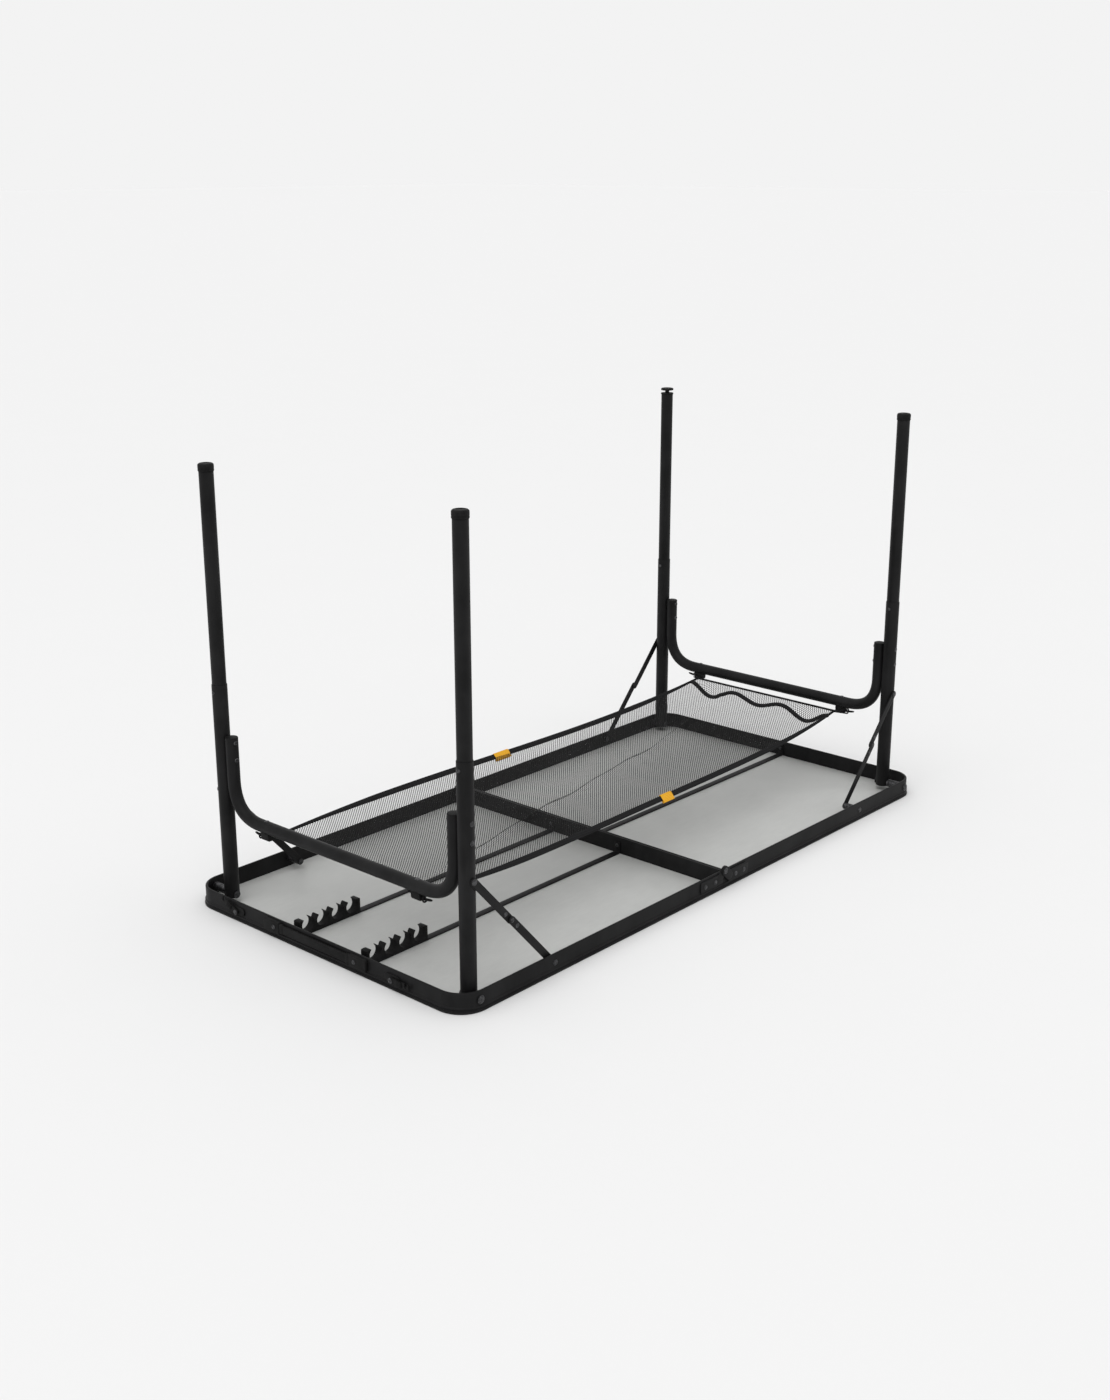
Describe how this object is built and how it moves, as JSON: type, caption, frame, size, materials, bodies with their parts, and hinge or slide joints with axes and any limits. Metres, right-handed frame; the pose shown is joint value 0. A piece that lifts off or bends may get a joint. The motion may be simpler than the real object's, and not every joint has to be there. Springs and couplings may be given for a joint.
{
  "type": "folding camping table",
  "caption": "Fold-in-half camping table shown upside down: two framed trays, folding braced legs with pull-out extensions, a mesh shelf, carry handle and latches.",
  "frame": {"origin": "centre of the tabletop face, which lies on the floor", "axes": "+X along the length from the handle end to the far end, +Y across the width, +Z from the tabletop towards the feet"},
  "size_m": [1.21, 0.6076, 0.7],
  "materials": {
    "black_paint": "satin black powder coat on metal tube",
    "black_trim": "satin black coated aluminium profile",
    "black_plastic": "matt black moulded plastic",
    "pale_panel": "light grey board, fine grain",
    "rivet_steel": "blackened steel",
    "mesh_fabric": "black woven net with hemmed edges"
  },
  "bodies": {
    "near_half": {"near_rim": "black_trim", "near_centre_rail": "black_trim", "near_panel": "pale_panel", "near_strap_left": "black_paint", "near_strap_right": "black_paint", "near_right_pivot_pin": "rivet_steel", "near_left_pivot_pin": "rivet_steel", "near_shelf": "mesh_fabric", "near_hinge_leaf_left": "rivet_steel", "near_hinge_leaf_right": "rivet_steel", "rack_left": "black_plastic", "rack_right": "black_plastic", "latch_base_left": "black_plastic", "latch_base_right": "black_plastic", "carry_handle": "black_plastic"},
    "far_half": {"far_rim": "black_trim", "far_centre_rail": "black_trim", "far_panel": "pale_panel", "far_strap_middle": "black_paint", "far_right_pivot_pin": "rivet_steel", "far_left_pivot_pin": "rivet_steel", "far_shelf": "mesh_fabric", "far_hinge_leaf_left": "rivet_steel", "far_hinge_leaf_right": "rivet_steel", "latch_keeper_left": "black_plastic", "latch_keeper_right": "black_plastic"},
    "near_legs": {"near_brace_tube": "black_paint", "near_right_leg": "black_paint", "near_right_shelf_hook": "black_plastic", "near_left_leg": "black_paint", "near_left_shelf_hook": "black_plastic"},
    "near_right_upper_link": {"near_right_upper_link": "black_paint"},
    "near_right_lower_link": {"near_right_lower_link": "black_paint"},
    "near_right_extension": {"near_right_extension_tube": "black_paint", "near_right_foot_cap": "black_plastic"},
    "near_right_button": {"near_right_snap_button": "rivet_steel"},
    "near_left_upper_link": {"near_left_upper_link": "black_paint"},
    "near_left_lower_link": {"near_left_lower_link": "black_paint"},
    "near_left_extension": {"near_left_extension_tube": "black_paint", "near_left_foot_cap": "black_plastic"},
    "near_left_button": {"near_left_snap_button": "rivet_steel"},
    "far_legs": {"far_brace_tube": "black_paint", "far_right_leg": "black_paint", "far_right_shelf_hook": "black_plastic", "far_left_leg": "black_paint", "far_left_shelf_hook": "black_plastic"},
    "far_right_upper_link": {"far_right_upper_link": "black_paint"},
    "far_right_lower_link": {"far_right_lower_link": "black_paint"},
    "far_right_extension": {"far_right_extension_tube": "black_paint", "far_right_foot_cap": "black_plastic"},
    "levelling_foot": {"levelling_foot": "black_plastic"},
    "far_right_button": {"far_right_snap_button": "rivet_steel"},
    "far_left_upper_link": {"far_left_upper_link": "black_paint"},
    "far_left_lower_link": {"far_left_lower_link": "black_paint"},
    "far_left_extension": {"far_left_extension_tube": "black_paint", "far_left_foot_cap": "black_plastic"},
    "far_left_button": {"far_left_snap_button": "rivet_steel"},
    "latch_lever_left": {"latch_lever_left": "black_plastic"},
    "latch_lever_right": {"latch_lever_right": "black_plastic"}
  },
  "joints": [
    {"name": "table_fold", "type": "hinge", "parent": "near_half", "child": "far_half", "pos_m": [0, 0, 0.0314], "axis": [0, -1, 0], "range_deg": [0, 180], "deforming": ["near_shelf", "far_shelf"]},
    {"name": "near_legs_fold", "type": "hinge", "parent": "near_half", "child": "near_legs", "pos_m": [-0.561, 0, 0.0173], "axis": [0, 1, 0], "range_deg": [0, 90]},
    {"name": "near_right_upper_link_pivot", "type": "hinge", "parent": "near_legs", "child": "near_right_upper_link", "pos_m": [-0.561, -0.2743, 0.19], "axis": [0, -1, 0], "range_deg": [0, 138.29]},
    {"name": "near_right_lower_link_pivot", "type": "hinge", "parent": "near_half", "child": "near_right_lower_link", "pos_m": [-0.407, -0.2743, 0.0173], "axis": [0, 1, 0], "range_deg": [0, 131.73]},
    {"name": "near_right_extension_slide", "type": "slide", "parent": "near_legs", "child": "near_right_extension", "axis": [0, 0, -1], "range_m": [0, 0.32]},
    {"name": "near_right_button_press", "type": "slide", "parent": "near_legs", "child": "near_right_button", "axis": [1, 0, 0], "range_m": [0, 0.0014], "stiffness_N_per_m": 300},
    {"name": "near_left_upper_link_pivot", "type": "hinge", "parent": "near_legs", "child": "near_left_upper_link", "pos_m": [-0.561, 0.2497, 0.19], "axis": [0, -1, 0], "range_deg": [0, 138.29]},
    {"name": "near_left_lower_link_pivot", "type": "hinge", "parent": "near_half", "child": "near_left_lower_link", "pos_m": [-0.407, 0.2497, 0.0173], "axis": [0, 1, 0], "range_deg": [0, 131.73]},
    {"name": "near_left_extension_slide", "type": "slide", "parent": "near_legs", "child": "near_left_extension", "axis": [0, 0, -1], "range_m": [0, 0.32]},
    {"name": "near_left_button_press", "type": "slide", "parent": "near_legs", "child": "near_left_button", "axis": [1, 0, 0], "range_m": [0, 0.0014], "stiffness_N_per_m": 300},
    {"name": "far_legs_fold", "type": "hinge", "parent": "far_half", "child": "far_legs", "pos_m": [0.561, 0, 0.0173], "axis": [0, -1, 0], "range_deg": [0, 90]},
    {"name": "far_right_upper_link_pivot", "type": "hinge", "parent": "far_legs", "child": "far_right_upper_link", "pos_m": [0.561, 0.2743, 0.19], "axis": [0, 1, 0], "range_deg": [0, 138.29]},
    {"name": "far_right_lower_link_pivot", "type": "hinge", "parent": "far_half", "child": "far_right_lower_link", "pos_m": [0.407, 0.2743, 0.0173], "axis": [0, -1, 0], "range_deg": [0, 131.73]},
    {"name": "far_right_extension_slide", "type": "slide", "parent": "far_legs", "child": "far_right_extension", "axis": [0, 0, -1], "range_m": [0, 0.32]},
    {"name": "levelling_foot_screw", "type": "slide", "parent": "far_right_extension", "child": "levelling_foot", "axis": [0, 0, 1], "range_m": [-0.0045, 0.006]},
    {"name": "far_right_button_press", "type": "slide", "parent": "far_legs", "child": "far_right_button", "axis": [1, 0, 0], "range_m": [0, 0.0014], "stiffness_N_per_m": 300},
    {"name": "far_left_upper_link_pivot", "type": "hinge", "parent": "far_legs", "child": "far_left_upper_link", "pos_m": [0.561, -0.2497, 0.19], "axis": [0, 1, 0], "range_deg": [0, 138.29]},
    {"name": "far_left_lower_link_pivot", "type": "hinge", "parent": "far_half", "child": "far_left_lower_link", "pos_m": [0.407, -0.2497, 0.0173], "axis": [0, -1, 0], "range_deg": [0, 131.73]},
    {"name": "far_left_extension_slide", "type": "slide", "parent": "far_legs", "child": "far_left_extension", "axis": [0, 0, -1], "range_m": [0, 0.32]},
    {"name": "far_left_button_press", "type": "slide", "parent": "far_legs", "child": "far_left_button", "axis": [1, 0, 0], "range_m": [0, 0.0014], "stiffness_N_per_m": 300},
    {"name": "latch_left_turn", "type": "hinge", "parent": "near_half", "child": "latch_lever_left", "pos_m": [-0.602, 0.188, 0.016], "axis": [1, 0, 0], "range_deg": [0, 66]},
    {"name": "latch_right_turn", "type": "hinge", "parent": "near_half", "child": "latch_lever_right", "pos_m": [-0.602, -0.16, 0.016], "axis": [-1, 0, 0], "range_deg": [0, 90]}
  ],
  "couplings": [
    {"joint": "near_legs_fold", "follows": "table_fold", "ratio": 0.5},
    {"joint": "near_right_upper_link_pivot", "follows": "table_fold", "ratio": 0.7682},
    {"joint": "near_right_lower_link_pivot", "follows": "table_fold", "ratio": 0.7318},
    {"joint": "near_right_extension_slide", "follows": "table_fold", "m_per_rad": 0.10183},
    {"joint": "near_left_upper_link_pivot", "follows": "table_fold", "ratio": 0.7682},
    {"joint": "near_left_lower_link_pivot", "follows": "table_fold", "ratio": 0.7318},
    {"joint": "near_left_extension_slide", "follows": "table_fold", "m_per_rad": 0.10183},
    {"joint": "far_legs_fold", "follows": "table_fold", "ratio": 0.5},
    {"joint": "far_right_upper_link_pivot", "follows": "table_fold", "ratio": 0.7682},
    {"joint": "far_right_lower_link_pivot", "follows": "table_fold", "ratio": 0.7318},
    {"joint": "far_right_extension_slide", "follows": "table_fold", "m_per_rad": 0.10183},
    {"joint": "far_left_upper_link_pivot", "follows": "table_fold", "ratio": 0.7682},
    {"joint": "far_left_lower_link_pivot", "follows": "table_fold", "ratio": 0.7318},
    {"joint": "far_left_extension_slide", "follows": "table_fold", "m_per_rad": 0.10183}
  ]
}
